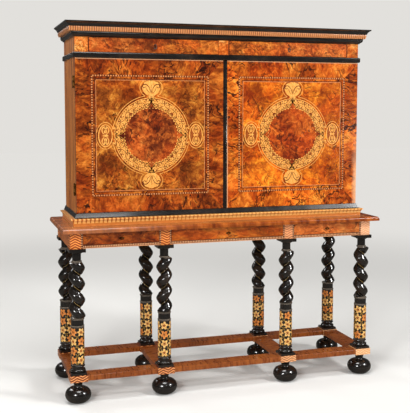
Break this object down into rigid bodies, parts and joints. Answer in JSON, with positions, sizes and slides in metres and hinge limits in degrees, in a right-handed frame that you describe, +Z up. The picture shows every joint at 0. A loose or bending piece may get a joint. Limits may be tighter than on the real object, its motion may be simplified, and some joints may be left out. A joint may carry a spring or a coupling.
{
  "type": "cabinet on stand",
  "caption": "Veneered cabinet with hinged marquetry doors and frieze drawers, on a table stand with spiral-turned legs, apron drawers, a flat stretcher and bun feet.",
  "frame": {"origin": "on the floor, midway between the two rows of legs, under the middle of the cabinet", "axes": "+X to the right as seen from the front, +Y towards the back, +Z up"},
  "size_m": [1.818, 0.57, 2],
  "materials": {
    "ebonised": "polished black, ebonised hardwood",
    "floral_marquetry": "polished floral marquetry on black",
    "herringbone": "polished herringbone veneer",
    "stretcher_veneer": "polished cross-grained veneer",
    "apron_veneer": "polished burr veneer",
    "table_veneer": "polished burr veneer",
    "case_walnut": "polished straight-grained walnut veneer",
    "door_marquetry": "polished burr walnut with light marquetry",
    "frieze_veneer": "polished burr veneer",
    "dentil_veneer": "polished veneer in light and dark dashes",
    "ripple_veneer": "polished band of fine light and dark strips",
    "oak": "plain planed boards",
    "brass": "aged brass",
    "iron": "dark wrought iron"
  },
  "bodies": {
    "stand_and_case": {"apron_back": "oak", "apron_front_rail": "apron_veneer", "apron_left_side": "apron_veneer", "apron_posts": "herringbone", "apron_right_side": "apron_veneer", "back_leg_1": "ebonised", "back_leg_2": "ebonised", "back_leg_3": "ebonised", "back_leg_4": "ebonised", "base_moulding": "ebonised", "bed_moulding": "ebonised", "bun_feet": "ebonised", "case_back": "oak", "case_bottom": "oak", "case_front_rails": "case_walnut", "case_hinge_halves": "brass", "case_left_side": "case_walnut", "case_partition": "oak", "case_right_side": "case_walnut", "case_top": "oak", "drawer_runners": "oak", "dust_board": "oak", "floral_sleeves": "floral_marquetry", "frieze_guides": "oak", "frieze_posts": "frieze_veneer", "front_leg_1": "ebonised", "front_leg_2": "ebonised", "front_leg_3": "ebonised", "front_leg_4": "ebonised", "plinth_moulding": "dentil_veneer", "ripple_band": "ripple_veneer", "shelves": "oak", "stretcher_back_rail": "stretcher_veneer", "stretcher_blocks": "herringbone", "stretcher_cross_rails": "stretcher_veneer", "stretcher_front_rail": "stretcher_veneer", "table_top": "table_veneer", "top_cornice": "ebonised", "waist_moulding": "ebonised"},
    "left_door": {"left_door": "door_marquetry", "meeting_strip": "ebonised", "left_door_hinge_halves": "brass", "lock_keeper": "iron", "bolt_guides": "iron"},
    "right_door": {"right_door": "door_marquetry", "right_door_hinge_halves": "brass", "door_lock": "iron"},
    "lock_bolt": {"lock_bolt": "iron"},
    "left_door_top_bolt": {"left_door_top_bolt": "iron"},
    "left_door_bottom_bolt": {"left_door_bottom_bolt": "iron"},
    "frieze_left_drawer": {"frieze_left_drawer_front": "frieze_veneer", "frieze_left_drawer_box": "oak"},
    "frieze_right_drawer": {"frieze_right_drawer_front": "frieze_veneer", "frieze_right_drawer_box": "oak"},
    "apron_left_drawer": {"apron_left_drawer_front": "apron_veneer", "apron_left_drawer_box": "oak"},
    "apron_middle_drawer": {"apron_middle_drawer_front": "apron_veneer", "apron_middle_drawer_box": "oak"},
    "apron_right_drawer": {"apron_right_drawer_front": "apron_veneer", "apron_right_drawer_box": "oak"}
  },
  "joints": [
    {"name": "left_door_hinge", "type": "hinge", "parent": "stand_and_case", "child": "left_door", "pos_m": [-0.824, -0.133, 1.4], "axis": [0, 0, -1], "range_deg": [0, 180]},
    {"name": "right_door_hinge", "type": "hinge", "parent": "stand_and_case", "child": "right_door", "pos_m": [0.824, -0.133, 1.4], "axis": [0, 0, 1], "range_deg": [0, 180]},
    {"name": "lock_bolt_slide", "type": "slide", "parent": "right_door", "child": "lock_bolt", "axis": [-1, 0, 0], "range_m": [0, 0.015]},
    {"name": "top_bolt_slide", "type": "slide", "parent": "left_door", "child": "left_door_top_bolt", "axis": [0, 0, 1], "range_m": [0, 0.016]},
    {"name": "bottom_bolt_slide", "type": "slide", "parent": "left_door", "child": "left_door_bottom_bolt", "axis": [0, 0, -1], "range_m": [0, 0.016]},
    {"name": "frieze_left_drawer_slide", "type": "slide", "parent": "stand_and_case", "child": "frieze_left_drawer", "axis": [0, -1, 0], "range_m": [0, 0.26]},
    {"name": "frieze_right_drawer_slide", "type": "slide", "parent": "stand_and_case", "child": "frieze_right_drawer", "axis": [0, -1, 0], "range_m": [0, 0.26]},
    {"name": "apron_left_drawer_slide", "type": "slide", "parent": "stand_and_case", "child": "apron_left_drawer", "axis": [0, -1, 0], "range_m": [0, 0.3]},
    {"name": "apron_middle_drawer_slide", "type": "slide", "parent": "stand_and_case", "child": "apron_middle_drawer", "axis": [0, -1, 0], "range_m": [0, 0.3]},
    {"name": "apron_right_drawer_slide", "type": "slide", "parent": "stand_and_case", "child": "apron_right_drawer", "axis": [0, -1, 0], "range_m": [0, 0.3]}
  ]
}
